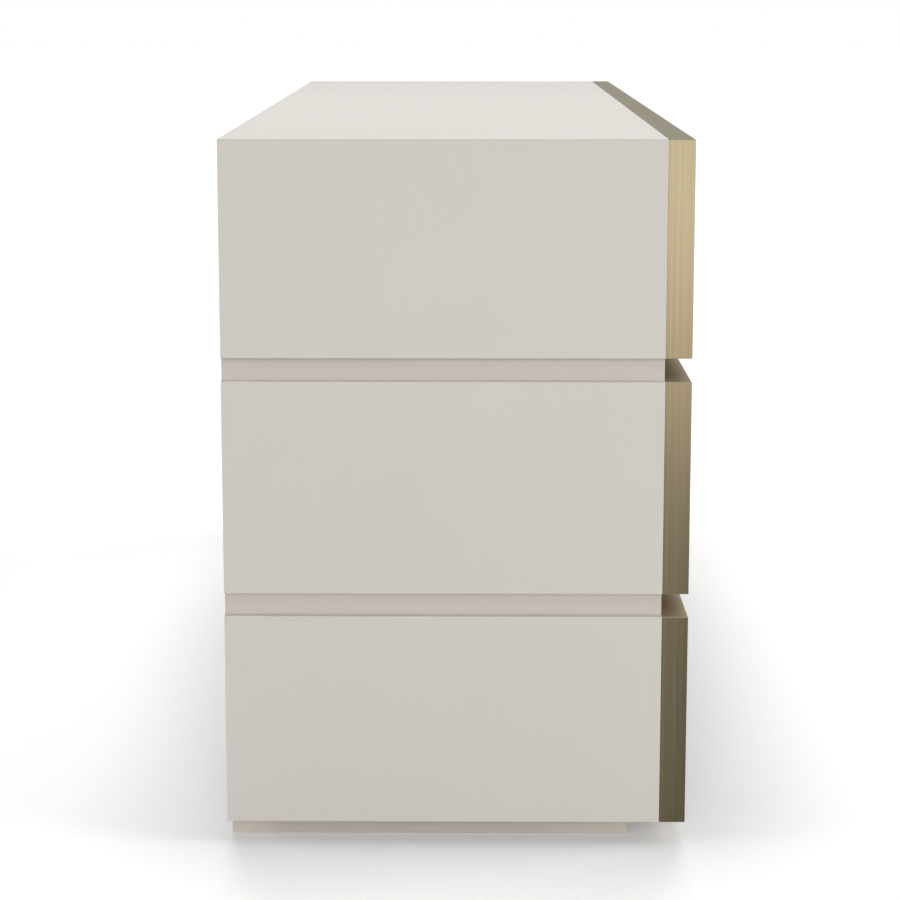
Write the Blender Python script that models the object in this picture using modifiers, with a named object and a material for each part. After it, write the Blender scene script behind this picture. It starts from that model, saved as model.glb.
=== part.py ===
"""Dresser with three full-width drawers, in metres with +Z up.

The origin is on the floor, under the middle of the width and of the depth.
X runs along the width, the drawers open towards -Y, and the back is at +Y.
Left and right are as seen from the front.
"""

import math

import bmesh
import bpy
from mathutils import Vector

# Overall form
WIDTH = 1.400
DEPTH = 0.500
BLOCK_HEIGHT = 0.232
REVEAL_HEIGHT = 0.025
REVEAL_DEPTH = 0.009
PLINTH_HEIGHT = 0.025

# Clearances, cuts and rounding
JOINT_GAP = 0.0003
FRONT_GAP = 0.0003
CUT_OVERRUN = 0.010
ARRIS_RADIUS = 0.0008
ROUND_STEPS = 3

# Cabinet boards
PANEL_THICKNESS = 0.030
BOTTOM_THICKNESS = 0.025
BACK_THICKNESS = 0.008
BACK_LAP = 0.012
BACK_INSET = 0.002

# Finger channels: folded sections between the side panels, behind the gaps
CHANNEL_DEPTH = 0.024
CHANNEL_LIP = 0.018
CHANNEL_WALL = 0.003
CHANNEL_BEND = 0.002

# Plinth
PLINTH_THICKNESS = 0.018
PLINTH_SIDE_SETBACK = 0.030
PLINTH_FRONT_SETBACK = 0.031
PLINTH_BACK_SETBACK = 0.002

# Drawer fronts: a folded metal tray around a board
FRONT_THICKNESS = 0.028
SKIN_THICKNESS = 0.0008
FOLD_BEND = 0.0004

# Drawer boxes
BOX_WALL = 0.015
BOX_ARRIS = 0.001
BOX_HEIGHT_CLEARANCE = 0.006
BOX_FLOOR_CLEARANCE = 0.007
BOX_BACK_CLEARANCE = 0.0115
BOX_BOTTOM_THICKNESS = 0.008
BOX_BOTTOM_RISE = 0.012
HOUSING_DEPTH = 0.006
BATTEN_WIDTH = 0.060
BATTEN_THICKNESS = 0.010

# Runners: three nested folded sections on each side of a drawer
RUNNER_SPACE = 0.0127
RUNNER_HEIGHT = 0.045
RUNNER_METAL = 0.0012
RUNNER_BEND = 0.0006
RUNNER_PLAY = 0.0005
RUNNER_RISE = 0.060
RUNNER_SETBACK = 0.002

LEVELS = ("lower", "middle", "upper")
REVEALS = ("lower", "upper")
SIDES = {"left": -1, "right": 1}


def block_base(level):
    """Height of the underside of a block, counted from the lowest."""
    return PLINTH_HEIGHT + level * (BLOCK_HEIGHT + REVEAL_HEIGHT)


def reveal_base(level):
    """Height of the underside of a reveal, counted from the lowest."""
    return block_base(level) + BLOCK_HEIGHT


# Planes and lines that more than one piece follows
HEIGHT = reveal_base(len(REVEALS))
FACE_Y = -DEPTH / 2
FRONT_BACK_Y = FACE_Y + FRONT_THICKNESS
CABINET_FRONT_Y = FRONT_BACK_Y + FRONT_GAP
BACK_Y = DEPTH / 2
BACK_FACE_Y = BACK_Y - BACK_INSET
BACK_INNER_Y = BACK_FACE_Y - BACK_THICKNESS
INNER_X = WIDTH / 2 - PANEL_THICKNESS
BOX_X = INNER_X - RUNNER_SPACE
BOX_FRONT_Y = FRONT_BACK_Y + JOINT_GAP
BOX_BACK_Y = BACK_INNER_Y - BOX_BACK_CLEARANCE
BOX_RISE = BOTTOM_THICKNESS + BOX_FLOOR_CLEARANCE
BOX_HEIGHT = BLOCK_HEIGHT - PANEL_THICKNESS - BOX_HEIGHT_CLEARANCE - BOX_RISE

# Linear colour, roughness and metallic value of each finish
CREAM_LACQUER = ("cream_lacquer", (0.68, 0.64, 0.59), 0.45, 0.0)
BRUSHED_BRASS = ("brushed_brass", (0.45, 0.37, 0.23), 0.35, 1.0)
CORE_BOARD = ("core_board", (0.30, 0.21, 0.13), 0.60, 0.0)
DRAWER_WOOD = ("drawer_wood", (0.42, 0.29, 0.17), 0.50, 0.0)
RUNNER_STEEL = ("runner_steel", (0.55, 0.56, 0.57), 0.35, 1.0)


def clear_scene():
    """Remove every object that the file opens with."""
    for obj in list(bpy.data.objects):
        bpy.data.objects.remove(obj, do_unlink=True)


def add_collection(name):
    """Add a collection to the scene."""
    collection = bpy.data.collections.new(name)
    bpy.context.scene.collection.children.link(collection)
    return collection


clear_scene()
PARTS = add_collection("dresser")
CUTTERS = add_collection("cutters")


def finish_material(name, finish):
    """Give a piece a material of its own in one of the finishes."""
    finish_name, colour, roughness, metallic = finish
    material = bpy.data.materials.new(name + "_" + finish_name)
    material.use_nodes = True
    shader = material.node_tree.nodes["Principled BSDF"]
    shader.inputs["Base Color"].default_value = (*colour, 1)
    shader.inputs["Roughness"].default_value = roughness
    shader.inputs["Metallic"].default_value = metallic
    material.diffuse_color = (*colour, 1)
    return material


def add_frame(name, location, parent=None):
    """Add an empty that carries pieces which stand or move together."""
    frame = bpy.data.objects.new(name, None)
    PARTS.objects.link(frame)
    place(frame, location, parent)
    return frame


def place(obj, location, frame):
    """Put an object at a place in the world, under the frame that carries it."""
    obj.location = Vector(location)
    if frame is not None:
        obj.parent = frame
        obj.location -= frame.location


def add_piece(name, data, location, frame, finish):
    """Add a visible piece with its own material."""
    piece = bpy.data.objects.new(name, data)
    PARTS.objects.link(piece)
    place(piece, location, frame)
    data.materials.append(finish_material(name, finish))
    return piece


def box_mesh(name, size):
    """Return a box of the given size, centred on its own origin."""
    mesh = bpy.data.meshes.new(name)
    shape = bmesh.new()
    bmesh.ops.create_cube(shape, size=1)
    bmesh.ops.scale(shape, vec=size, verts=shape.verts)
    shape.to_mesh(mesh)
    shape.free()
    return mesh


def size_and_centre(low, high):
    """Return the size and the middle of the box between two opposite corners."""
    low = Vector(low)
    high = Vector(high)
    return high - low, (low + high) / 2


def round_arrises(piece, radius):
    """Round the sharp edges of a piece."""
    bevel = piece.modifiers.new("arrises", "BEVEL")
    bevel.width = radius
    bevel.segments = ROUND_STEPS
    bevel.limit_method = "ANGLE"


def add_board(name, low, high, frame, finish, arris=0):
    """Add a plain board between two opposite corners."""
    size, centre = size_and_centre(low, high)
    board = add_piece(name, box_mesh(name, size), centre, frame, finish)
    if arris:
        round_arrises(board, arris)
    return board


def add_cutter(name, low, high, frame):
    """Add a box that only cuts others."""
    size, centre = size_and_centre(low, high)
    cutter = bpy.data.objects.new(name, box_mesh(name, size))
    CUTTERS.objects.link(cutter)
    place(cutter, centre, frame)
    cutter.hide_render = True
    cutter.display_type = "WIRE"
    return cutter


def cut(piece, cutter):
    """Cut one box out of a piece."""
    boolean = piece.modifiers.new("cut_" + cutter.name, "BOOLEAN")
    boolean.operation = "DIFFERENCE"
    boolean.solver = "EXACT"
    boolean.object = cutter


def arc(centre, radius, first, last):
    """Return the points of an arc between two angles."""
    angles = [first + (last - first) * step / ROUND_STEPS for step in range(ROUND_STEPS + 1)]
    return [centre + radius * Vector((math.cos(angle), math.sin(angle))) for angle in angles]


def rounded(corners):
    """Return a closed outline in which each corner (u, v, radius) is an arc between its sides."""
    points = []
    for index, (u, v, radius) in enumerate(corners):
        corner = Vector((u, v))
        if not radius:
            points.append(corner)
            continue
        before = (Vector(corners[index - 1][:2]) - corner).normalized()
        after = (Vector(corners[(index + 1) % len(corners)][:2]) - corner).normalized()
        half_angle = before.angle(after) / 2
        centre = corner + (before + after).normalized() * radius / math.sin(half_angle)
        reach = radius / math.tan(half_angle)
        start = (corner + before * reach - centre).normalized()
        end = (corner + after * reach - centre).normalized()
        for step in range(ROUND_STEPS + 1):
            points.append(centre + start.slerp(end, step / ROUND_STEPS) * radius)
    return points


def outline_curve(name, points, length):
    """Return a flat outline extruded over a length, half to each side of its plane."""
    curve = bpy.data.curves.new(name, "CURVE")
    curve.dimensions = "2D"
    curve.fill_mode = "BOTH"
    curve.extrude = length / 2
    spline = curve.splines.new("POLY")
    spline.points.add(len(points) - 1)
    for target, point in zip(spline.points, points):
        target.co = (point.x, point.y, 0, 1)
    spline.use_cyclic_u = True
    return curve


def turn_along_y(piece):
    """Stand an outline up in the XZ plane, so that it runs along Y."""
    piece.rotation_euler = (math.pi / 2, 0, 0)


def turn_along_x(piece):
    """Stand an outline up in the YZ plane, so that it runs along X."""
    piece.rotation_euler = (math.pi / 2, 0, math.pi / 2)


def as_mesh(curve_piece):
    """Turn a curve piece into a welded mesh piece of the same name, which can be cut."""
    bpy.context.view_layer.update()
    evaluated = curve_piece.evaluated_get(bpy.context.evaluated_depsgraph_get())
    mesh = bpy.data.meshes.new_from_object(evaluated)
    shape = bmesh.new()
    shape.from_mesh(mesh)
    bmesh.ops.remove_doubles(shape, verts=shape.verts, dist=JOINT_GAP / 100)
    shape.to_mesh(mesh)
    shape.free()
    name = curve_piece.name
    frame = curve_piece.parent
    matrix = curve_piece.matrix_world.copy()
    bpy.data.objects.remove(curve_piece, do_unlink=True)
    mesh.name = name
    piece = bpy.data.objects.new(name, mesh)
    PARTS.objects.link(piece)
    piece.parent = frame
    piece.matrix_world = matrix
    return piece


def channel_corners(back, tip, half_height, wall, bend):
    """Return the corners of a C section, whose web is at back and whose flanges reach to tip."""
    inner = back + math.copysign(wall, tip - back)
    outer_bend = bend + wall
    return [
        (tip, -half_height, 0),
        (back, -half_height, outer_bend),
        (back, half_height, outer_bend),
        (tip, half_height, 0),
        (tip, half_height - wall, 0),
        (inner, half_height - wall, bend),
        (inner, wall - half_height, bend),
        (tip, wall - half_height, 0),
    ]


# The top and the sides meet in a mitre under the rounded long arris. Each face of the mitre is
# moved back by half of the joint gap, which turns the end of its share of the arris by this angle.
MITRE_TURN = math.asin(JOINT_GAP / 2 / ARRIS_RADIUS)
MITRE_SHIFT = JOINT_GAP / math.sqrt(2)
MITRE_ANGLE = math.pi / 4


def side_panel_outline():
    """Section of a side panel: u runs inwards from the outer face, v up from its underside."""
    top = HEIGHT - PLINTH_HEIGHT
    corners = [(PANEL_THICKNESS, 0, 0), (0, 0, ARRIS_RADIUS)]
    for level in range(len(REVEALS)):
        reveal = reveal_base(level) - PLINTH_HEIGHT
        corners.append((0, reveal, ARRIS_RADIUS))
        corners.append((REVEAL_DEPTH, reveal, 0))
        corners.append((REVEAL_DEPTH, reveal + REVEAL_HEIGHT, 0))
        corners.append((0, reveal + REVEAL_HEIGHT, ARRIS_RADIUS))
    arris_centre = Vector((ARRIS_RADIUS, top - ARRIS_RADIUS))
    arris = arc(arris_centre, ARRIS_RADIUS, math.pi, math.pi - MITRE_ANGLE + MITRE_TURN)
    mitre_foot = Vector((PANEL_THICKNESS, top - PANEL_THICKNESS - MITRE_SHIFT))
    return rounded_chain(corners, arris + [mitre_foot])


def rounded_chain(corners, tail):
    """Return rounded corners followed by points that are already on the outline."""
    closing = [(point.x, point.y, 0) for point in tail]
    return rounded(corners + closing)


def top_panel_outline():
    """Section of the top panel: u runs from its middle, v up from its upper face."""
    centre = Vector((WIDTH / 2 - ARRIS_RADIUS, -ARRIS_RADIUS))
    arris = arc(centre, ARRIS_RADIUS, MITRE_ANGLE + MITRE_TURN, math.pi / 2)
    mitre_foot = Vector((INNER_X - MITRE_SHIFT, -PANEL_THICKNESS))
    right = [mitre_foot] + arris
    left = [Vector((-point.x, point.y)) for point in reversed(right)]
    return right + left


def add_back_recess(frame):
    """Cutter for the rebate in which the back panel sits."""
    half_width = INNER_X + BACK_LAP
    low = (-half_width, BACK_INNER_Y - JOINT_GAP, PLINTH_HEIGHT - CUT_OVERRUN)
    high = (half_width, BACK_Y + CUT_OVERRUN, HEIGHT - PANEL_THICKNESS + BACK_LAP)
    return add_cutter("back_recess", low, high, frame)


def add_top_panel(frame, recess):
    """Top board, mitred at both ends and rebated for the back panel."""
    length = BACK_Y - CABINET_FRONT_Y
    middle_y = (BACK_Y + CABINET_FRONT_Y) / 2
    curve = outline_curve("top_panel", top_panel_outline(), length)
    panel = add_piece("top_panel", curve, (0, middle_y, HEIGHT), frame, CREAM_LACQUER)
    turn_along_y(panel)
    cut(as_mesh(panel), recess)


def add_side_panel(side_name, side, frame, recess):
    """Side board with its two routed reveals, mitred to the top and rebated for the back."""
    name = side_name + "_side_panel"
    length = BACK_Y - CABINET_FRONT_Y
    middle_y = (BACK_Y + CABINET_FRONT_Y) / 2
    points = [Vector((-side * point.x, point.y)) for point in side_panel_outline()]
    curve = outline_curve(name, points, length)
    location = (side * WIDTH / 2, middle_y, PLINTH_HEIGHT)
    panel = add_piece(name, curve, location, frame, CREAM_LACQUER)
    turn_along_y(panel)
    cut(as_mesh(panel), recess)


def add_bottom_panel(frame):
    """Bottom board between the sides, in front of the back panel."""
    half_width = INNER_X - JOINT_GAP
    low = (-half_width, CABINET_FRONT_Y, PLINTH_HEIGHT)
    high = (half_width, BACK_INNER_Y - JOINT_GAP, PLINTH_HEIGHT + BOTTOM_THICKNESS)
    add_board("bottom_panel", low, high, frame, CREAM_LACQUER)


def add_back_panel(frame):
    """Thin back, set a little in from the back edges of the cabinet."""
    half_width = INNER_X + BACK_LAP - JOINT_GAP
    low = (-half_width, BACK_INNER_Y, PLINTH_HEIGHT)
    high = (half_width, BACK_FACE_Y, HEIGHT - PANEL_THICKNESS + BACK_LAP - JOINT_GAP)
    add_board("back_panel", low, high, frame, CREAM_LACQUER)


def add_finger_channel(level, frame):
    """Section between the sides, which backs the gap between two fronts and leaves finger room."""
    name = REVEALS[level] + "_finger_channel"
    half_height = REVEAL_HEIGHT / 2 + CHANNEL_LIP
    corners = channel_corners(CHANNEL_DEPTH, 0, half_height, CHANNEL_WALL, CHANNEL_BEND)
    length = 2 * (INNER_X - JOINT_GAP)
    curve = outline_curve(name, rounded(corners), length)
    middle_z = reveal_base(level) + REVEAL_HEIGHT / 2
    channel = add_piece(name, curve, (0, CABINET_FRONT_Y, middle_z), frame, CREAM_LACQUER)
    turn_along_x(channel)


def add_plinth(frame):
    """Frame of rails on edge, set back at the front and the ends, with a bearer across it."""
    outer_x = WIDTH / 2 - PLINTH_SIDE_SETBACK
    front_y = CABINET_FRONT_Y + PLINTH_FRONT_SETBACK
    back_y = BACK_Y - PLINTH_BACK_SETBACK
    top = PLINTH_HEIGHT - JOINT_GAP
    rail_x = outer_x - PLINTH_THICKNESS - JOINT_GAP
    for name, y in (("front", front_y), ("back", back_y - PLINTH_THICKNESS)):
        low = (-rail_x, y, 0)
        high = (rail_x, y + PLINTH_THICKNESS, top)
        add_board(name + "_plinth_rail", low, high, frame, CREAM_LACQUER, ARRIS_RADIUS)
    for name, side in SIDES.items():
        edges = sorted((side * outer_x, side * (outer_x - PLINTH_THICKNESS)))
        low = (edges[0], front_y, 0)
        high = (edges[1], back_y, top)
        add_board(name + "_plinth_rail", low, high, frame, CREAM_LACQUER, ARRIS_RADIUS)
    low = (-PLINTH_THICKNESS / 2, front_y + PLINTH_THICKNESS + JOINT_GAP, 0)
    high = (PLINTH_THICKNESS / 2, back_y - PLINTH_THICKNESS - JOINT_GAP, top)
    add_board("centre_plinth_bearer", low, high, frame, CREAM_LACQUER, ARRIS_RADIUS)


def add_front_skin(name, base, frame):
    """Sheet metal folded back over the four edges of a drawer front."""
    low = (-WIDTH / 2, FACE_Y, base)
    high = (WIDTH / 2, FRONT_BACK_Y, base + BLOCK_HEIGHT)
    size, centre = size_and_centre(low, high)
    mesh = box_mesh(name, size)
    shape = bmesh.new()
    shape.from_mesh(mesh)
    back_faces = [face for face in shape.faces if face.normal.y > 0.5]
    bmesh.ops.delete(shape, geom=back_faces, context="FACES")
    shape.to_mesh(mesh)
    shape.free()
    skin = add_piece(name, mesh, centre, frame, BRUSHED_BRASS)
    round_arrises(skin, FOLD_BEND + SKIN_THICKNESS)
    sheet = skin.modifiers.new("sheet", "SOLIDIFY")
    sheet.thickness = SKIN_THICKNESS
    sheet.offset = -1
    sheet.use_even_offset = True


def add_front_core(name, base, frame):
    """Board that fills the metal tray."""
    inset = SKIN_THICKNESS + JOINT_GAP
    low = (inset - WIDTH / 2, FACE_Y + inset, base + inset)
    high = (WIDTH / 2 - inset, FRONT_BACK_Y, base + BLOCK_HEIGHT - inset)
    add_board(name, low, high, frame, CORE_BOARD)


def add_drawer_box(prefix, base, frame):
    """Box of a drawer: its bottom slides into grooves from behind, under the back board."""
    floor = base + BOX_RISE
    top = floor + BOX_HEIGHT
    inner_x = BOX_X - BOX_WALL
    inner_y = BOX_FRONT_Y + BOX_WALL
    bottom_low = floor + BOX_BOTTOM_RISE
    bottom_high = bottom_low + BOX_BOTTOM_THICKNESS
    housing_x = inner_x + HOUSING_DEPTH
    housing_y = inner_y - HOUSING_DEPTH
    between_x = inner_x - JOINT_GAP

    low = (-housing_x, housing_y, bottom_low - JOINT_GAP)
    high = (housing_x, BOX_BACK_Y + CUT_OVERRUN, bottom_high + JOINT_GAP)
    housing = add_cutter(prefix + "_bottom_housing", low, high, frame)

    for side_name, side in SIDES.items():
        edges = sorted((side * inner_x, side * BOX_X))
        low = (edges[0], BOX_FRONT_Y, floor)
        high = (edges[1], BOX_BACK_Y, top)
        board = add_board(prefix + "_" + side_name + "_side", low, high, frame, DRAWER_WOOD, BOX_ARRIS)
        cut(board, housing)

    low = (-between_x, BOX_FRONT_Y, floor)
    high = (between_x, inner_y, top)
    cut(add_board(prefix + "_inner_front", low, high, frame, DRAWER_WOOD, BOX_ARRIS), housing)

    low = (-between_x, BOX_BACK_Y - BOX_WALL, bottom_high + JOINT_GAP)
    high = (between_x, BOX_BACK_Y, top)
    add_board(prefix + "_back", low, high, frame, DRAWER_WOOD, BOX_ARRIS)

    low = (JOINT_GAP - housing_x, housing_y + JOINT_GAP, bottom_low)
    high = (housing_x - JOINT_GAP, BOX_BACK_Y, bottom_high)
    add_board(prefix + "_bottom", low, high, frame, DRAWER_WOOD)

    low = (-BATTEN_WIDTH / 2, inner_y + JOINT_GAP, bottom_low - JOINT_GAP - BATTEN_THICKNESS)
    high = (BATTEN_WIDTH / 2, BOX_BACK_Y, bottom_low - JOINT_GAP)
    add_board(prefix + "_batten", low, high, frame, DRAWER_WOOD, BOX_ARRIS)


def add_runner_member(name, side, height, section, frame):
    """Add one folded member of a runner: u runs from the side panel towards the drawer."""
    back, tip, half_height = section
    corners = channel_corners(back, tip, half_height, RUNNER_METAL, RUNNER_BEND)
    points = [Vector((-side * point.x, point.y)) for point in rounded(corners)]
    start_y = CABINET_FRONT_Y + RUNNER_SETBACK
    curve = outline_curve(name, points, BOX_BACK_Y - start_y)
    location = (side * INNER_X, (start_y + BOX_BACK_Y) / 2, height)
    turn_along_y(add_piece(name, curve, location, frame, RUNNER_STEEL))


def add_runner(level_name, side_name, height, cabinet, drawer):
    """Nest three members: on the cabinet, between, and on the drawer."""
    side = SIDES[side_name]
    step = RUNNER_METAL + RUNNER_PLAY
    half_height = RUNNER_HEIGHT / 2
    web = JOINT_GAP
    flange_tip = RUNNER_SPACE - JOINT_GAP - step
    prefix = level_name + "_" + side_name
    section = (web, flange_tip, half_height)
    add_runner_member(prefix + "_cabinet_runner", side, height, section, cabinet)
    section = (web + step, flange_tip, half_height - step)
    add_runner_member(prefix + "_intermediate_runner", side, height, section, cabinet)
    section = (RUNNER_SPACE - JOINT_GAP, web + 2 * step, half_height - 2 * step)
    add_runner_member(prefix + "_drawer_runner", side, height, section, drawer)


def add_drawer(level, cabinet):
    """One drawer with its front, box and runners; its frame lies on the axis that it slides along."""
    level_name = LEVELS[level]
    base = block_base(level)
    runner_height = base + BOX_RISE + RUNNER_RISE
    frame = add_frame(level_name + "_drawer_slide", (0, CABINET_FRONT_Y, runner_height), cabinet)
    add_front_skin(level_name + "_front_skin", base, frame)
    add_front_core(level_name + "_front_core", base, frame)
    add_drawer_box(level_name + "_drawer", base, frame)
    for side_name in SIDES:
        add_runner(level_name, side_name, runner_height, cabinet, frame)


def add_cabinet():
    """Everything that stands still; returns the frame that carries it."""
    frame = add_frame("cabinet", (0, 0, 0))
    recess = add_back_recess(frame)
    add_top_panel(frame, recess)
    for side_name, side in SIDES.items():
        add_side_panel(side_name, side, frame, recess)
    add_bottom_panel(frame)
    add_back_panel(frame)
    for level in range(len(REVEALS)):
        add_finger_channel(level, frame)
    add_plinth(frame)
    return frame


cabinet_frame = add_cabinet()
for drawer_level in range(len(LEVELS)):
    add_drawer(drawer_level, cabinet_frame)
bpy.context.view_layer.update()
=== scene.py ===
"""Looks of the dresser: finishes, fittings, floor, light and camera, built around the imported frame.

Lengths are metres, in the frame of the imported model: Z up, fronts towards -Y.
"""

import math

import bmesh
import bpy
from mathutils import Matrix, Vector


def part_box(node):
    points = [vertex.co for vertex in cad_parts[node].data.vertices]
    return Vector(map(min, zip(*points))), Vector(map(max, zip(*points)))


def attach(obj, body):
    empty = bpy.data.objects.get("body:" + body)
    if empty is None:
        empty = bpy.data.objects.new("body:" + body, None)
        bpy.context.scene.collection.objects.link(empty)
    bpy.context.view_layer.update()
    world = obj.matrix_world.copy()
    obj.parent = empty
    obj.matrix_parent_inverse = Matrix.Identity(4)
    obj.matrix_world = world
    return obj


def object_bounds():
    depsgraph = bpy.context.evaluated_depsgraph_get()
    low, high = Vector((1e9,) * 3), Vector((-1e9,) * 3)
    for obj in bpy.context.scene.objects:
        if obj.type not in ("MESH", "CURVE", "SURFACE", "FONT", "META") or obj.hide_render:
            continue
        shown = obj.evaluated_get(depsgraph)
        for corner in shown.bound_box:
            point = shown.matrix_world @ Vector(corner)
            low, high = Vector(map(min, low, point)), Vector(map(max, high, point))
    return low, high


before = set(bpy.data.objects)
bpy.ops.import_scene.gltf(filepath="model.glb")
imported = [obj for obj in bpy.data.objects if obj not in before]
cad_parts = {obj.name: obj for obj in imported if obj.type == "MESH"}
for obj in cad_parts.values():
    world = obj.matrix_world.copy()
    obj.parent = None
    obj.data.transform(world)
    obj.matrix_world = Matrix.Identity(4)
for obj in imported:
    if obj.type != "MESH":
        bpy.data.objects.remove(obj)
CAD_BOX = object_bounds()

# Camera, from the vanishing point and the corners of the photograph
EYE = Vector((-2.9501, -0.0097, 0.9279))
PITCH = math.radians(8.646)
YAW = math.radians(0.413)
LENS = 86.31
LENS_SHIFT = -0.15

# Light: strength 1 turns a white matt surface that faces it white. Each lamp has the direction in
# which it stands, its height as an angle, and its strength.
SKY_STRENGTH = 0.20
LAMP_SPREAD = math.radians(40)
LAMPS = {
    "left_lamp": ((-1, 0), math.radians(16), 0.50),
    "front_lamp": ((0, -1), math.radians(35), 0.37),
    "back_lamp": ((0, 1), math.radians(15), 0.30),
    "right_lamp": ((1, 0), math.radians(35), 0.36),
    "high_right_lamp": ((1, 0), math.radians(60), 0.13),
}

# Floor: how much of the light it returns, its own glow where it is seen, and its contact shade
FLOOR_SIZE = 60.0
FLOOR_BOUNCE = 0.62
FLOOR_GLOW = 0.215
CONTACT_REACH = 0.22
CONTACT_SAMPLES = 8
CONTACT_OPENNESS = (0.57, 1.0)
CONTACT_SHADE = 0.76


def srgb(red, green, blue):
    """Linear colour of an sRGB triple from 0 to 255, none of them near black."""
    shares = [value / 255 for value in (red, green, blue)]
    return (*[((share + 0.055) / 1.055) ** 2.4 for share in shares], 1.0)


def shaded(colour, share):
    """A colour made lighter or darker by one factor."""
    return (*[share * channel for channel in colour[:3]], 1.0)


CREAM = srgb(214, 209, 202)
# Painted shade: the cream made darker for the recessed channels of the ends
REVEAL_PAINTED_SHADE = srgb(202, 195, 187)
# Painted shade: the cream made darker for the plinth under the overhang
PLINTH_SHADED_CREAM = srgb(198, 190, 181)
BRASS_LIGHT = srgb(192, 177, 143)
# Painted reflection shade: the brass made dark towards the floor
BRASS_PAINTED_SHADE = srgb(98, 90, 71)
BRASS_EDGE = srgb(180, 180, 180)
BRASS_FOLD = srgb(190, 177, 153)
# Painted reflection shade: a darker brass for the top strip
BRASS_TOP_PAINTED_SHADE = srgb(167, 160, 143)
CORE = srgb(148, 126, 99)
WOOD_LIGHT = srgb(190, 156, 116)
WOOD_DARK = srgb(146, 110, 73)
STEEL = srgb(176, 178, 180)
# Painted shade that stands for the slotted holes in the runners' webs, which aren't cut
HOLE_PAINTED_SHADE = srgb(58, 52, 46)

# Directions of the brush lines, how large a part of its normal makes a surface face along an axis,
# and how far below the highest point a face still counts as the top
UPRIGHT = (0.0, 0.0, 1.0)
FRONT_TO_BACK = (0.0, 1.0, 0.0)
FACING_PART = 0.5
TOP_FACE_MARGIN = 0.006

# Noise: the range in which most of its values lie, and its kinds, each a detail and a roughness
NOISE_RANGE = (0.3, 0.7)
PEEL_NOISE = (1.0, 0.5)
SOFT_NOISE = (2.0, 0.5)
CLOUD_NOISE = (3.0, 0.5)
FIBRE_NOISE = (3.0, 0.6)
BRUSH_NOISE = (4.0, 0.65)

# In the finishes below, a scale is the fineness of a noise: along X, Y and Z, or across and along
# the lines. A relief is its strength and its height, and tones are factors of a colour.

# Lacquer: how much of its tone is clouds, and the rest is grain
LACQUER_GRAIN_SCALE = (420.0, 420.0, 9.0)
LACQUER_CLOUD_SCALE = (5.0, 5.0, 5.0)
LACQUER_PEEL_SCALE = (700.0, 700.0, 700.0)
LACQUER_CLOUD_SHARE = 0.6
LACQUER_TONES = (0.985, 1.015)
LACQUER_ROUGHNESS = (0.44, 0.50)
LACQUER_RELIEF = (0.15, 0.0001)
LACQUER_REFRACTION = 1.45

# Painted shade in the recessed channels of the ends: depth up to which it goes, how far in it fades
# from the arris, how far it laps over the edges, how much of it is left at the lower edge, and the
# share of the height above that over which it grows full
REVEAL_DEPTH = 0.0095
REVEAL_FADE = (0.0004, 0.003)
REVEAL_OVERLAP = 0.0005
REVEAL_LOW_SHARE = 0.2
REVEAL_RISE_SHARE = 0.75

# Painted light and shade on the lacquer: a factor of the ends at the fronts and at the back, and a
# painted shade of the top at its far end, with the place where it starts
END_PAINTED_SHADING = (1.025, 0.990)
TOP_PAINTED_SHADE = 0.91
TOP_SHADE_START = 0.10

# Painted light on the ends of the plinth: how much lighter they are at their back and front corners,
# and how far in from each corner that fades
PLINTH_BACK_PAINTED_LIGHT = 1.165
PLINTH_BACK_FADE = 0.075
PLINTH_FRONT_PAINTED_LIGHT = 1.10
PLINTH_FRONT_FADE = 0.14

# Brass: its brush lines and broad streaks, the steps of tone that each adds, how strongly its shine
# is drawn across the lines, and how much rougher the folded edges are
BRASS_BRUSH_SCALE = (1500.0, 2.5)
BRASS_STREAK_SCALE = (260.0, 1.2)
BRASS_BRUSH_STEPS = (-0.05, 0.05)
BRASS_STREAK_STEPS = (-0.06, 0.06)
BRASS_ROUGHNESS = (0.30, 0.40)
BRASS_ANISOTROPY = 0.3
BRASS_RELIEF = (0.2, 0.0001)
FOLD_ROUGHNESS = 0.22

# Painted reflection shade on the brass, darker towards the floor: the height at which it is lightest,
# how far down it takes to grow full, its factor where it is half shaded, the warm and cool factors
# between which its streaks drift, and how much stronger the streaks are in the shade. The half shaded
# gain makes a share times its rest 1 at one half. The end folds' painted shade is a factor at the
# face and at the cabinet, and fades out up to a share of the unshaded brass.
BRASS_UNSHADED_HEIGHT = 0.744
BRASS_SHADE_SPAN = 0.285
BRASS_HALF_SHADED = (1.06, 1.0, 1.0, 1.0)
HALF_SHADED_GAIN = 4.0
BRASS_WARM = (1.04, 0.99, 0.90, 1.0)
BRASS_COOL = (0.96, 1.01, 1.10, 1.0)
SHADED_STREAK_GAIN = 2.2
END_FOLD_PAINTED_SHADE = (0.87, 1.13)
END_FOLD_SHADE_SHARE = 0.3

# Wood: how far the grain of one piece can be shifted from another's, how fast the rings follow each
# other, how much of the tone is rings (the rest is fibres), the noise range in which pores end, and
# how strongly and how darkly they show
WOOD_SHIFT = 7.0
WOOD_RING_SCALE = (22.0, 0.9)
WOOD_RING_RATE = 46.0
WOOD_RING_SHARE = 0.5
WOOD_FIBRE_SCALE = (900.0, 9.0)
WOOD_PORE_SCALE = (1100.0, 48.0)
WOOD_PORE_RANGE = (0.34, 0.42)
WOOD_PORE_SHARE = 0.40
WOOD_PORE_TONE = 0.60
WOOD_ROUGHNESS = (0.42, 0.56)
WOOD_RELIEF = (0.25, 0.0002)

# Steel: drawing lines from front to back, and clouds
STEEL_LINE_SCALE = (900.0, 4.0, 900.0)
STEEL_CLOUD_SCALE = (18.0, 18.0, 18.0)
STEEL_LINE_TONES = (0.90, 1.08)
STEEL_CLOUD_TONE = 0.93
STEEL_ROUGHNESS = (0.28, 0.40)
STEEL_RELIEF = (0.15, 0.0001)

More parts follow.
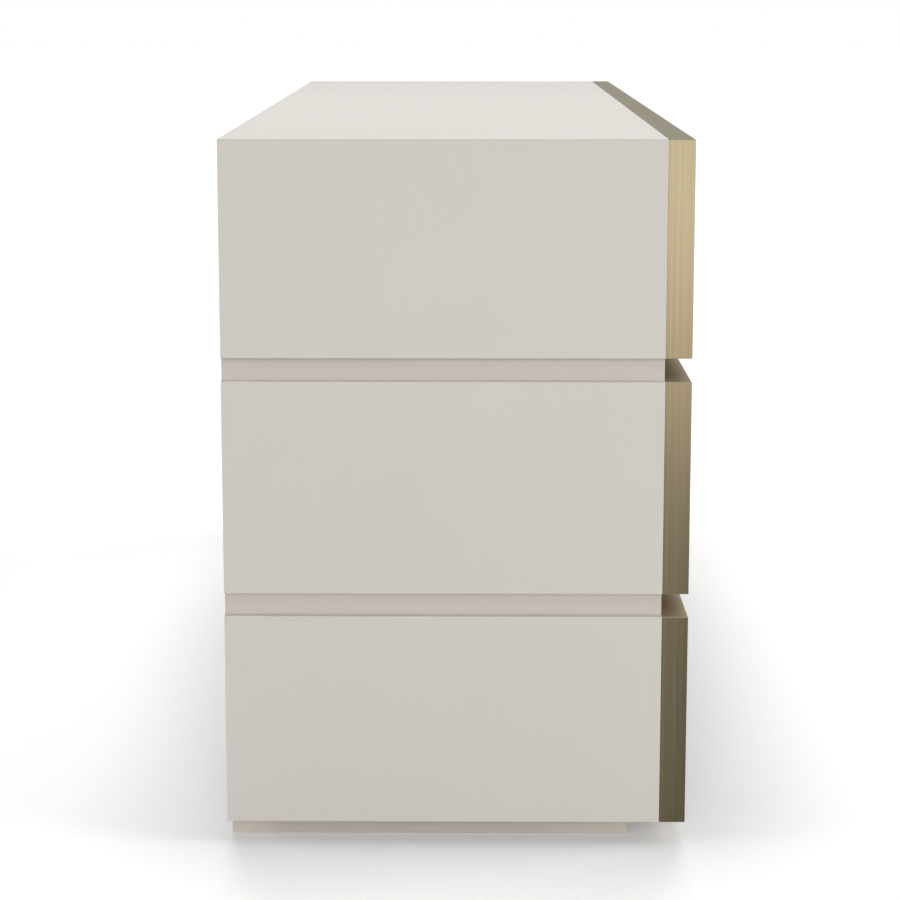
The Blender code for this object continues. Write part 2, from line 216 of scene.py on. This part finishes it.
# Runners: sheet thickness, the row of slotted holes painted dark on their webs, whose edges fade
# over a small distance, and the stop lugs
RUNNER_METAL = 0.0012
HOLE_PITCH = 0.064
HOLE_LENGTH = 0.010
HOLE_RADIUS = 0.0023
HOLE_FADE = 0.0002
STOP_INSET = 0.003
STOP_THICKNESS = 0.0012
STOP_CORNER = 0.002
STOP_CORNER_SEGMENTS = 4
ROUND_PROFILE = 0.5

# Screws: radius and rise of each kind of head, how deep it is sunk, the height of its rim and how
# much of that is upright, the rings of the dome, and the shape of its cross recess
PAN_HEAD = (0.0040, 0.0022)
SMALL_HEAD = (0.0034, 0.0014)
FLAT_HEAD = (0.0036, 0.0004)
HEAD_SINK = 0.0002
RIM_SHARE = 0.45
RIM_WALL_SHARE = 0.7
DOME_RING_SHARES = (0.94, 0.8)
RECESS_REACH_SHARE = 0.62
RECESS_WIDTH_SHARE = 0.17
RECESS_FLOOR_SHARE = 0.70
RECESS_DEPTH_SHARE = 0.55
SMOOTH_ANGLE = math.radians(35)

# Places of the screws, as distances from edges and as shares of the piece that carries them
BACK_SCREW_EDGE = 0.006
BACK_SCREW_LOW_EDGE = 0.0125
BACK_SCREW_COLUMNS = 9
BACK_SCREW_ROWS = 5
FRONT_SCREW_COLUMN_SHARES = (0.05, 0.275, 0.5, 0.725, 0.95)
FRONT_SCREW_ROW_SHARES = (0.38, 0.84)
CORNER_SCREW_SHARES = (0.11, 0.63, 0.90)
RUNNER_SCREW_HOLES = (0, 2, 4, 6)

LEVELS = ("lower", "middle", "upper")
SIDES = {"left": -1, "right": 1}

# Mix node: numbers of the two inputs and of the output that serve each kind of data
MIX_SOCKETS = {"FLOAT": (2, 3, 0), "VECTOR": (4, 5, 1), "RGBA": (6, 7, 2)}


class Graph:
    """Shorthand for building the nodes of one material or world."""

    def __init__(self, owner):
        owner.use_nodes = True
        self.tree = owner.node_tree
        self.tree.nodes.clear()

    def node(self, kind, **settings):
        """Add a node and set its plain properties."""
        node = self.tree.nodes.new(kind)
        for name, value in settings.items():
            setattr(node, name, value)
        return node

    def feed(self, target, value):
        """Link a socket, or set a plain value."""
        if isinstance(value, bpy.types.NodeSocket):
            self.tree.links.new(value, target)
        else:
            target.default_value = value

    def math(self, operation, first, second=0.0, third=0.0):
        """Result of one sum."""
        node = self.node("ShaderNodeMath", operation=operation)
        for socket, value in zip(node.inputs, (first, second, third)):
            self.feed(socket, value)
        return node.outputs[0]

    def product(self, *values):
        """All values multiplied."""
        result = values[0]
        for value in values[1:]:
            result = self.math("MULTIPLY", result, value)
        return result

    def remap(self, value, source, result=(0.0, 1.0), smooth=False):
        """A value carried from one range to another, and held at its ends."""
        node = self.node("ShaderNodeMapRange")
        if smooth:
            node.interpolation_type = "SMOOTHSTEP"
        self.feed(node.inputs["Value"], value)
        node.inputs["From Min"].default_value, node.inputs["From Max"].default_value = source
        node.inputs["To Min"].default_value, node.inputs["To Max"].default_value = result
        return node.outputs[0]

    def place(self):
        """Position on the piece, which is the place in the frame while the drawers are shut."""
        return self.node("ShaderNodeTexCoord").outputs["Object"]

    def normal(self):
        """Direction in which the surface faces."""
        return self.node("ShaderNodeNewGeometry").outputs["Normal"]

    def axes(self, vector):
        """X, Y and Z of a vector."""
        node = self.node("ShaderNodeSeparateXYZ")
        self.feed(node.inputs[0], vector)
        return node.outputs

    def facing(self, normal_part):
        """1 where a part of the normal is large, so that the surface faces along its axis."""
        return self.math("GREATER_THAN", self.math("ABSOLUTE", normal_part), FACING_PART)

    def vector_math(self, operation, first, second):
        """Result of one sum on vectors."""
        node = self.node("ShaderNodeVectorMath", operation=operation)
        self.feed(node.inputs[0], first)
        self.feed(node.inputs[1], second)
        return node.outputs[0]

    def scaled(self, vector, scale):
        """A vector stretched along each axis."""
        return self.vector_math("MULTIPLY", vector, scale)

    def noise(self, vector, kind=SOFT_NOISE):
        """Smooth noise of one kind."""
        detail, roughness = kind
        node = self.node("ShaderNodeTexNoise")
        self.feed(node.inputs["Vector"], vector)
        node.inputs["Scale"].default_value = 1.0
        node.inputs["Detail"].default_value = detail
        node.inputs["Roughness"].default_value = roughness
        return node.outputs["Fac"]

    def remap_noise(self, noise, result=(0.0, 1.0)):
        """Noise carried from the range of most of its values to another."""
        return self.remap(noise, NOISE_RANGE, result)

    def mix_kind(self, kind, factor, first, second, **settings):
        """Two values of one kind of data mixed."""
        node = self.node("ShaderNodeMix", data_type=kind, **settings)
        first_input, second_input, output = MIX_SOCKETS[kind]
        self.feed(node.inputs[0], factor)
        self.feed(node.inputs[first_input], first)
        self.feed(node.inputs[second_input], second)
        return node.outputs[output]

    def mix(self, factor, first, second):
        """Two colours mixed."""
        return self.mix_kind("RGBA", factor, first, second)

    def mix_vectors(self, factor, first, second):
        """Two vectors mixed."""
        return self.mix_kind("VECTOR", factor, first, second)

    def mix_values(self, factor, first, second):
        """Two numbers mixed."""
        return self.mix_kind("FLOAT", factor, first, second)

    def tinted(self, colour, factor):
        """A colour multiplied by a number or by another colour."""
        return self.mix_kind("RGBA", 1.0, colour, factor, blend_type="MULTIPLY")

    def bump(self, height, relief):
        """Normal of a surface raised by a height."""
        strength, distance = relief
        node = self.node("ShaderNodeBump")
        node.inputs["Strength"].default_value = strength
        node.inputs["Distance"].default_value = distance
        self.feed(node.inputs["Height"], height)
        return node.outputs[0]

    def seen(self):
        """1 for rays that see the background: from the camera, a reflection or through glass."""
        path = self.node("ShaderNodeLightPath").outputs
        reflected = self.math("MAXIMUM", path["Is Glossy Ray"], path["Is Transmission Ray"])
        return self.math("MAXIMUM", path["Is Camera Ray"], reflected)


def new_material(name):
    """A material with a Principled shader on its output, its graph, and the shader's sockets."""
    material = bpy.data.materials.new(name)
    graph = Graph(material)
    output = graph.node("ShaderNodeOutputMaterial")
    shader = graph.node("ShaderNodeBsdfPrincipled")
    graph.feed(output.inputs["Surface"], shader.outputs[0])
    return material, graph, shader.inputs


def reveal_shade_mask(graph, axes):
    """1 where shade is painted inside the two recessed channels of the ends, fading out over their edges.
    """
    depth = graph.math("SUBTRACT", CAD_BOX[1][0], graph.math("ABSOLUTE", axes[0]))
    inset = graph.product(graph.remap(depth, REVEAL_FADE, smooth=True),
                          graph.math("LESS_THAN", depth, REVEAL_DEPTH))
    bands = 0.0
    for below, above in zip(LEVELS, LEVELS[1:]):
        low_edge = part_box(below + "_front_skin")[1][2] - REVEAL_OVERLAP
        high_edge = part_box(above + "_front_skin")[0][2] + REVEAL_OVERLAP
        full_height = low_edge + REVEAL_RISE_SHARE * (high_edge - low_edge)
        band = graph.product(graph.math("GREATER_THAN", axes[2], low_edge),
                             graph.math("LESS_THAN", axes[2], high_edge),
                             graph.remap(axes[2], (low_edge, full_height), (REVEAL_LOW_SHARE, 1.0)))
        bands = graph.math("ADD", bands, band)
    return graph.product(bands, inset)


def plinth_painted_light(graph, axes):
    """Painted light on the plinth's ends: they get lighter towards their back and front corners."""
    low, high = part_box("left_plinth_rail")
    back = (high[1] - PLINTH_BACK_FADE, high[1])
    front = (low[1], low[1] + PLINTH_FRONT_FADE)
    factor = graph.product(graph.remap(axes[1], back, (1.0, PLINTH_BACK_PAINTED_LIGHT), smooth=True),
                           graph.remap(axes[1], front, (PLINTH_FRONT_PAINTED_LIGHT, 1.0), smooth=True))
    return graph.mix_values(graph.math("LESS_THAN", axes[2], high[2]), 1.0, factor)


def topmost(graph, axes):
    """1 at the height of the top."""
    return graph.math("GREATER_THAN", axes[2], CAD_BOX[1][2] - TOP_FACE_MARGIN)


def lacquer_painted_shading(graph, axes):
    """Painted light and shade on the lacquer: the ends get lighter towards the fronts, the top darker to
    its far end.
    """
    normal_axes = graph.axes(graph.normal())
    end_factor = graph.product(graph.remap(axes[1], (CAD_BOX[0][1], CAD_BOX[1][1]), END_PAINTED_SHADING),
                               plinth_painted_light(graph, axes))
    factor = graph.mix_values(graph.facing(normal_axes[0]), 1.0, end_factor)
    facing_up = graph.math("GREATER_THAN", normal_axes[2], FACING_PART)
    on_top = graph.product(facing_up, topmost(graph, axes))
    top_factor = graph.remap(axes[0], (TOP_SHADE_START, CAD_BOX[1][0]), (1.0, TOP_PAINTED_SHADE))
    return graph.mix_values(on_top, factor, top_factor)


def lacquer_material(name, colour):
    """Satin lacquer: a fine orange peel over the faintest upright grain, painted shade in the reveals,
    and painted light and shade on the ends and the top.
    """
    material, graph, shader = new_material(name)
    place = graph.place()
    axes = graph.axes(place)
    grain = graph.noise(graph.scaled(place, LACQUER_GRAIN_SCALE), FIBRE_NOISE)
    cloud = graph.noise(graph.scaled(place, LACQUER_CLOUD_SCALE))
    tone = graph.mix_values(LACQUER_CLOUD_SHARE, grain, cloud)
    dark, light = [shaded(colour, share) for share in LACQUER_TONES]
    paint = graph.mix(graph.remap_noise(tone), dark, light)
    # Painted shade in the recessed channels of the ends
    paint = graph.mix(reveal_shade_mask(graph, axes), paint, REVEAL_PAINTED_SHADE)
    # Painted light and shade: ends lighter towards the fronts, plinth corners lighter, top darker at its
    # far end
    graph.feed(shader["Base Color"], graph.tinted(paint, lacquer_painted_shading(graph, axes)))
    graph.feed(shader["Roughness"], graph.remap_noise(cloud, LACQUER_ROUGHNESS))
    peel = graph.noise(graph.scaled(place, LACQUER_PEEL_SCALE), PEEL_NOISE)
    graph.feed(shader["Normal"], graph.bump(peel, LACQUER_RELIEF))
    shader["IOR"].default_value = LACQUER_REFRACTION
    return material


def brass_unshaded_share(graph, height):
    """1 where the brass shows its own light gold, and less the lower it sits, where painted reflection
    shade darkens it.
    """
    fall = graph.math("MAXIMUM", graph.math("SUBTRACT", BRASS_UNSHADED_HEIGHT, height), 0.0)
    fall_share = graph.math("DIVIDE", fall, BRASS_SHADE_SPAN)
    return graph.math("EXPONENT", graph.product(fall_share, fall_share, -1.0))


def brass_tone_with_painted_shade(graph, axes, sideways, lying, unshaded_share):
    """Colour of the brass: light gold at the top, with painted reflection shade that darkens it towards
    the floor, on the end folds and on the top strip.
    """
    shade_share = graph.math("SUBTRACT", 1.0, unshaded_share)
    half_shaded = graph.product(unshaded_share, shade_share, HALF_SHADED_GAIN)
    upright_tone = graph.mix(unshaded_share, BRASS_PAINTED_SHADE, BRASS_LIGHT)
    upright_tone = graph.mix(half_shaded, upright_tone, graph.tinted(upright_tone, BRASS_HALF_SHADED))
    # Painted reflection shade on the end folds where the brass is darkest: darker at the face, lighter at
    # the cabinet
    low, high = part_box("lower_front_skin")
    lean = graph.remap(axes[1], (low[1], high[1]), END_FOLD_PAINTED_SHADE)
    fold_shading = graph.product(sideways, graph.remap(unshaded_share, (0.0, END_FOLD_SHADE_SHARE), (1.0, 0.0)))
    upright_tone = graph.tinted(upright_tone, graph.mix_values(fold_shading, 1.0, lean))
    # Painted reflection shade: the top strip is a darker brass than the folds in the gaps
    lying_tone = graph.mix(topmost(graph, axes), BRASS_FOLD, BRASS_TOP_PAINTED_SHADE)
    return graph.mix(lying, upright_tone, lying_tone)


def brushed_noise(graph, place, lying, scale, kind=SOFT_NOISE):
    """Noise drawn out along the brush lines: upright, or front to back on the sheet that lies flat."""
    across, along = scale
    upright_place = graph.scaled(place, (across, across, along))
    lying_place = graph.scaled(place, (across, along, along))
    return graph.noise(graph.mix_vectors(lying, upright_place, lying_place), kind)


def brass_material():
    """Brass sheet brushed upright, and front to back where it is folded over."""
    material, graph, shader = new_material("brushed_brass_finish")
    place = graph.place()
    axes = graph.axes(place)
    normal = graph.normal()
    normal_axes = graph.axes(normal)
    sideways = graph.facing(normal_axes[0])
    lying = graph.facing(normal_axes[2])
    brush = brushed_noise(graph, place, lying, BRASS_BRUSH_SCALE, BRUSH_NOISE)
    broad = brushed_noise(graph, place, lying, BRASS_STREAK_SCALE)
    # Painted reflection shade: the brass darkens towards the floor, and its streaks grow stronger there
    unshaded_share = brass_unshaded_share(graph, axes[2])
    streak = graph.math("ADD", graph.remap_noise(brush, BRASS_BRUSH_STEPS),
                        graph.remap_noise(broad, BRASS_STREAK_STEPS))
    streak_gain = graph.mix_values(unshaded_share, SHADED_STREAK_GAIN, 1.0)
    streak = graph.math("MULTIPLY_ADD", streak, streak_gain, 1.0)
    drift = graph.mix(graph.remap_noise(broad), BRASS_WARM, BRASS_COOL)
    tone = brass_tone_with_painted_shade(graph, axes, sideways, lying, unshaded_share)
    graph.feed(shader["Base Color"], graph.tinted(graph.tinted(tone, drift), streak))
    upright_roughness = graph.remap_noise(brush, BRASS_ROUGHNESS)
    graph.feed(shader["Roughness"], graph.math("MULTIPLY_ADD", lying, FOLD_ROUGHNESS, upright_roughness))
    shader["Metallic"].default_value = 1.0
    shader["Specular Tint"].default_value = BRASS_EDGE
    shader["Anisotropic"].default_value = BRASS_ANISOTROPY
    lines = graph.mix_vectors(lying, UPRIGHT, FRONT_TO_BACK)
    graph.feed(shader["Tangent"], graph.vector_math("CROSS_PRODUCT", normal, lines))
    graph.feed(shader["Normal"], graph.bump(brush, BRASS_RELIEF))
    return material


def wood_material(name, along, light, dark):
    """Straight-grained timber whose fibres run along one axis."""
    material, graph, shader = new_material(name)
    random = graph.node("ShaderNodeObjectInfo").outputs["Random"]
    offset = graph.node("ShaderNodeCombineXYZ")
    for socket in offset.inputs:
        graph.feed(socket, graph.product(random, WOOD_SHIFT))
    place = graph.vector_math("ADD", graph.place(), offset.outputs[0])

    def grained(across, lengthwise):
        scale = [across] * 3
        scale[along] = lengthwise
        return graph.scaled(place, scale)

    rings = graph.noise(grained(*WOOD_RING_SCALE), CLOUD_NOISE)
    bands = graph.math("SINE", graph.product(rings, WOOD_RING_RATE))
    fibre = graph.noise(grained(*WOOD_FIBRE_SCALE), FIBRE_NOISE)
    pores = graph.remap(graph.noise(grained(*WOOD_PORE_SCALE)), WOOD_PORE_RANGE, (1.0, 0.0))
    tone = graph.math("ADD", graph.remap(bands, (-1.0, 1.0), (0.0, WOOD_RING_SHARE)),
                      graph.remap_noise(fibre, (0.0, 1.0 - WOOD_RING_SHARE)))
    colour = graph.mix(tone, light, dark)
    colour = graph.mix(graph.product(pores, WOOD_PORE_SHARE), colour, shaded(dark, WOOD_PORE_TONE))
    graph.feed(shader["Base Color"], colour)
    graph.feed(shader["Roughness"], graph.remap_noise(fibre, WOOD_ROUGHNESS))
    graph.feed(shader["Normal"], graph.bump(fibre, WOOD_RELIEF))
    return material


def painted_hole_mask(graph, axes):
    """1 inside the row of slotted holes painted along the middle of every runner's web, which isn't cut.
    """
    low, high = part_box("lower_left_cabinet_runner")
    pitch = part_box("middle_left_cabinet_runner")[0][2] - low[2]
    middle = (low[2] + high[2]) / 2
    height = graph.math("WRAP", axes[2], middle + pitch / 2, middle - pitch / 2)
    rise = graph.math("SUBTRACT", height, middle)
    step = graph.math("WRAP", graph.math("SUBTRACT", axes[1], low[1]), HOLE_PITCH, 0.0)
    along = graph.math("ABSOLUTE", graph.math("SUBTRACT", step, HOLE_PITCH / 2))
    beyond = graph.math("MAXIMUM", graph.math("SUBTRACT", along, HOLE_LENGTH / 2 - HOLE_RADIUS), 0.0)
    squares = graph.math("ADD", graph.product(rise, rise), graph.product(beyond, beyond))
    return graph.remap(graph.math("SQRT", squares), (HOLE_RADIUS - HOLE_FADE, HOLE_RADIUS), (1.0, 0.0))


def steel_material(name, painted_holes):
    """Zinc plating: a soft grey with faint drawing lines, and on runners dark painted shade that stands
    for slotted holes in their webs.
    """
    material, graph, shader = new_material(name)
    place = graph.place()
    lines = graph.noise(graph.scaled(place, STEEL_LINE_SCALE), FIBRE_NOISE)
    cloud = graph.noise(graph.scaled(place, STEEL_CLOUD_SCALE), CLOUD_NOISE)
    colour = graph.mix(graph.remap_noise(cloud), STEEL, shaded(STEEL, STEEL_CLOUD_TONE))
    colour = graph.tinted(colour, graph.remap_noise(lines, STEEL_LINE_TONES))
    metallic = 1.0
    if painted_holes:
        web = graph.facing(graph.axes(graph.normal())[0])
        hole = graph.product(web, painted_hole_mask(graph, graph.axes(place)))
        # Painted shade for the holes: dark and not metallic
        colour = graph.mix(hole, colour, HOLE_PAINTED_SHADE)
        metallic = graph.math("SUBTRACT", 1.0, hole)
    graph.feed(shader["Base Color"], colour)
    graph.feed(shader["Metallic"], metallic)
    graph.feed(shader["Roughness"], graph.remap_noise(lines, STEEL_ROUGHNESS))
    graph.feed(shader["Normal"], graph.bump(lines, STEEL_RELIEF))
    return material


def dress_nodes():
    """Give every CAD node its finish."""
    lacquer = lacquer_material("cream_lacquer_finish", CREAM)
    # The plinth gets a darker copy of the cream lacquer: painted shade under the overhang
    plinth = lacquer_material("plinth_shaded_lacquer_finish", PLINTH_SHADED_CREAM)
    brass = brass_material()
    steel = steel_material("runner_steel_finish", True)
    wood_along_x = wood_material("drawer_wood_along_x", 0, WOOD_LIGHT, WOOD_DARK)
    wood_along_y = wood_material("drawer_wood_along_y", 1, WOOD_LIGHT, WOOD_DARK)
    core = wood_material("core_board_finish", 0, CORE, WOOD_DARK)
    for name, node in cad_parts.items():
        if name.endswith("_runner"):
            finish = steel
        elif name.endswith("_skin"):
            finish = brass
        elif name.endswith("_core"):
            finish = core
        elif name.endswith(("_drawer_left_side", "_drawer_right_side", "_drawer_batten")):
            finish = wood_along_y
        elif "_drawer_" in name:
            finish = wood_along_x
        elif "plinth" in name:
            finish = plinth
        else:
            finish = lacquer
        node.data.materials.clear()
        node.data.materials.append(finish)


def add_piece(name, shape, material, body):
    """Turn a finished bmesh into a piece that rides on a body."""
    bmesh.ops.recalc_face_normals(shape, faces=shape.faces)
    mesh = bpy.data.meshes.new(name)
    shape.to_mesh(mesh)
    shape.free()
    mesh.shade_smooth()
    mesh.set_sharp_from_angle(angle=SMOOTH_ANGLE)
    mesh.materials.append(material)
    piece = bpy.data.objects.new(name, mesh)
    bpy.context.scene.collection.objects.link(piece)
    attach(piece, body)


def recess_outline(radius):
    """Angle and distance of the points on the outline of a head's cross recess."""
    reach = radius * RECESS_REACH_SHARE
    half_width = radius * RECESS_WIDTH_SHARE
    corner = math.atan2(half_width, reach)
    eighth = math.pi / 4
    half = [(0.0, reach)]
    for angle in (corner, (corner + eighth) / 2, eighth):
        half.append((angle, min(reach / math.cos(angle), half_width / math.sin(angle))))
    quarter = half + [(math.pi / 2 - angle, distance) for angle, distance in reversed(half[1:-1])]
    return [(angle + turn * math.pi / 2, distance) for turn in range(4) for angle, distance in quarter]


def add_head(shape, place, direction, head):
    """Add a screw head with a cross recess to a bmesh; it stands on a place and faces a direction."""
    radius, rise = head
    rim = rise * RIM_SHARE
    depth = rise * RECESS_DEPTH_SHARE
    outline = recess_outline(radius)
    count = len(outline)

    def dome(distance):
        return rise - (rise - rim) * (distance / radius) ** 2

    rings = [[(radius, -HEAD_SINK)] * count, [(radius, rim * RIM_WALL_SHARE)] * count]
    for share in DOME_RING_SHARES:
        rings.append([(radius * share, dome(radius * share))] * count)
    rings.append([(reach, dome(reach)) for angle, reach in outline])
    rings.append([(reach * RECESS_FLOOR_SHARE, rise - depth) for angle, reach in outline])
    turn = Vector(direction).to_track_quat("Z", "Y").to_matrix().to_4x4()
    matrix = Matrix.Translation(Vector(place)) @ turn
    loops = []
    for ring in rings:
        loop = []
        for (angle, reach), (distance, height) in zip(outline, ring):
            point = Vector((distance * math.cos(angle), distance * math.sin(angle), height))
            loop.append(shape.verts.new(matrix @ point))
        loops.append(loop)
    for lower, upper in zip(loops, loops[1:]):
        for index in range(count):
            following = (index + 1) % count
            shape.faces.new((lower[index], lower[following], upper[following], upper[index]))
    shape.faces.new(list(reversed(loops[0])))
    shape.faces.new(loops[-1])


def add_screws(name, places, direction, head, material, body):
    """Add a group of like screws as one piece."""
    shape = bmesh.new()
    for place in places:
        add_head(shape, place, direction, head)
    add_piece(name, shape, material, body)


def spread(low, high, count):
    """Evenly spaced values from one end to the other."""
    return [low + (high - low) * step / (count - 1) for step in range(count)]


def add_back_screws(material):
    """Screws round the edge of the back panel."""
    low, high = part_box("back_panel")
    left, right = low[0] + BACK_SCREW_EDGE, high[0] - BACK_SCREW_EDGE
    bottom, top = low[2] + BACK_SCREW_LOW_EDGE, high[2] - BACK_SCREW_EDGE
    places = []
    for x in spread(left, right, BACK_SCREW_COLUMNS):
        places += [(x, high[1], bottom), (x, high[1], top)]
    for z in spread(bottom, top, BACK_SCREW_ROWS + 2)[1:-1]:
        places += [(left, high[1], z), (right, high[1], z)]
    add_screws("back_panel_screws", places, (0, 1, 0), SMALL_HEAD, material, "cabinet")


def add_front_screws(level, material):
    """Screws that hold a drawer front, seen on the inside of the drawer."""
    low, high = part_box(level + "_drawer_inner_front")
    places = []
    for column in FRONT_SCREW_COLUMN_SHARES:
        x = low[0] + column * (high[0] - low[0])
        for row in FRONT_SCREW_ROW_SHARES:
            places.append((x, high[1], low[2] + row * (high[2] - low[2])))
    add_screws(level + "_drawer_front_screws", places, (0, 1, 0), PAN_HEAD, material, level + "_drawer")


def add_corner_screws(level, side_name, material):
    """Screws through a drawer side into the ends of the inner front and the back board."""
    side = SIDES[side_name]
    low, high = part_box(level + "_drawer_" + side_name + "_side")
    wall = high[0] - low[0]
    face = low[0] if side < 0 else high[0]
    places = []
    for y in (low[1] + wall / 2, high[1] - wall / 2):
        for share in CORNER_SCREW_SHARES:
            places.append((face, y, low[2] + share * (high[2] - low[2])))
    name = level + "_drawer_" + side_name + "_corner_screws"
    add_screws(name, places, (side, 0, 0), FLAT_HEAD, material, level + "_drawer")


def add_runner_screws(level, side_name, material):
    """Screws at the painted holes of the runner member on the drawer, facing the side panel."""
    side = SIDES[side_name]
    prefix = level + "_" + side_name
    low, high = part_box(prefix + "_drawer_runner")
    web = high[0] if side < 0 else low[0]
    middle = (low[2] + high[2]) / 2
    places = []
    for hole in RUNNER_SCREW_HOLES:
        places.append((web + side * RUNNER_METAL, low[1] + (hole + 0.5) * HOLE_PITCH, middle))
    add_screws(prefix + "_runner_screws", places, (side, 0, 0), PAN_HEAD, material, level + "_drawer")


def add_runner_stop(level, side_name, material):
    """Lug across the front end of the middle runner member, which stops the drawer at full travel."""
    side = SIDES[side_name]
    prefix = level + "_" + side_name
    low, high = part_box(prefix + "_intermediate_runner")
    drawer_low, drawer_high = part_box(prefix + "_drawer_runner")
    outer = low[0] + RUNNER_METAL if side < 0 else high[0] - RUNNER_METAL
    inner = drawer_high[0] - RUNNER_METAL if side < 0 else drawer_low[0] + RUNNER_METAL
    inner += side * (PAN_HEAD[1] + 2 * HEAD_SINK)
    half_height = (drawer_high[2] - drawer_low[2]) / 2 - 2 * RUNNER_METAL
    middle_z = (low[2] + high[2]) / 2
    size = Vector((abs(inner - outer), STOP_THICKNESS, 2 * half_height))
    centre = Vector(((inner + outer) / 2, low[1] + STOP_INSET + STOP_THICKNESS / 2, middle_z))
    shape = bmesh.new()
    bmesh.ops.create_cube(shape, size=1.0)
    bmesh.ops.scale(shape, vec=size, verts=shape.verts)
    along_y = []
    for edge in shape.edges:
        start, end = [vertex.co for vertex in edge.verts]
        if abs(end.y - start.y) > STOP_THICKNESS / 2:
            along_y.append(edge)
    bmesh.ops.bevel(shape, geom=along_y, offset=STOP_CORNER, segments=STOP_CORNER_SEGMENTS,
                    profile=ROUND_PROFILE, affect="EDGES")
    bmesh.ops.translate(shape, vec=centre, verts=shape.verts)
    add_piece(prefix + "_runner_stop", shape, material, prefix + "_intermediate")


def add_fittings():
    """Screws and stops."""
    material = steel_material("screw_steel_finish", False)
    add_back_screws(material)
    for level in LEVELS:
        add_front_screws(level, material)
        for side_name in SIDES:
            add_corner_screws(level, side_name, material)
            add_runner_screws(level, side_name, material)
            add_runner_stop(level, side_name, material)


def add_floor():
    """Pale floor. It looks white to the camera and in metal, and keeps the object's shadow."""
    mesh = bpy.data.meshes.new("floor")
    shape = bmesh.new()
    bmesh.ops.create_grid(shape, x_segments=1, y_segments=1, size=FLOOR_SIZE / 2)
    shape.to_mesh(mesh)
    shape.free()
    floor = bpy.data.objects.new("floor", mesh)
    bpy.context.scene.collection.objects.link(floor)
    material = bpy.data.materials.new("floor_paint")
    graph = Graph(material)
    seen = graph.seen()
    near = graph.node("ShaderNodeAmbientOcclusion", samples=CONTACT_SAMPLES)
    near.inputs["Distance"].default_value = CONTACT_REACH
    shade = graph.remap(near.outputs["AO"], CONTACT_OPENNESS, (CONTACT_SHADE, 1.0))
    paint = graph.node("ShaderNodeBsdfDiffuse")
    graph.feed(paint.inputs["Color"], graph.mix_values(seen, FLOOR_BOUNCE, shade))
    glow = graph.node("ShaderNodeEmission")
    graph.feed(glow.inputs["Strength"], graph.product(seen, shade, FLOOR_GLOW))
    both = graph.node("ShaderNodeAddShader")
    graph.feed(both.inputs[0], paint.outputs[0])
    graph.feed(both.inputs[1], glow.outputs[0])
    output = graph.node("ShaderNodeOutputMaterial")
    graph.feed(output.inputs["Surface"], both.outputs[0])
    mesh.materials.append(material)


def add_sky():
    """Even studio light all round, on a white background."""
    world = bpy.data.worlds.new("studio")
    bpy.context.scene.world = world
    graph = Graph(world)
    background = graph.node("ShaderNodeBackground")
    background.inputs["Color"].default_value = (1.0, 1.0, 1.0, 1.0)
    graph.feed(background.inputs["Strength"], graph.mix_values(graph.seen(), SKY_STRENGTH, 1.0))
    output = graph.node("ShaderNodeOutputWorld")
    graph.feed(output.inputs["Surface"], background.outputs[0])


def add_lamps():
    """Soft lamps far away on all four sides; metal doesn't mirror them."""
    for name, (direction, elevation, strength) in LAMPS.items():
        data = bpy.data.lights.new(name, "SUN")
        data.energy = strength * math.pi
        data.angle = LAMP_SPREAD
        lamp = bpy.data.objects.new(name, data)
        bpy.context.scene.collection.objects.link(lamp)
        flat = Vector(direction) * math.cos(elevation)
        towards = Vector((flat.x, flat.y, math.sin(elevation)))
        lamp.rotation_euler = towards.to_track_quat("Z", "Y").to_euler()
        lamp.visible_glossy = False


def add_camera():
    """Camera at the photograph's viewpoint."""
    data = bpy.data.cameras.new("camera")
    data.lens = LENS
    data.shift_y = LENS_SHIFT
    camera = bpy.data.objects.new("camera", data)
    bpy.context.scene.collection.objects.link(camera)
    camera.location = EYE
    camera.rotation_euler = (math.pi / 2 - PITCH, 0, YAW - math.pi / 2)
    bpy.context.scene.camera = camera


add_camera()
add_floor()
add_sky()
add_lamps()
dress_nodes()
add_fittings()
bpy.context.scene.view_settings.view_transform = "Standard"
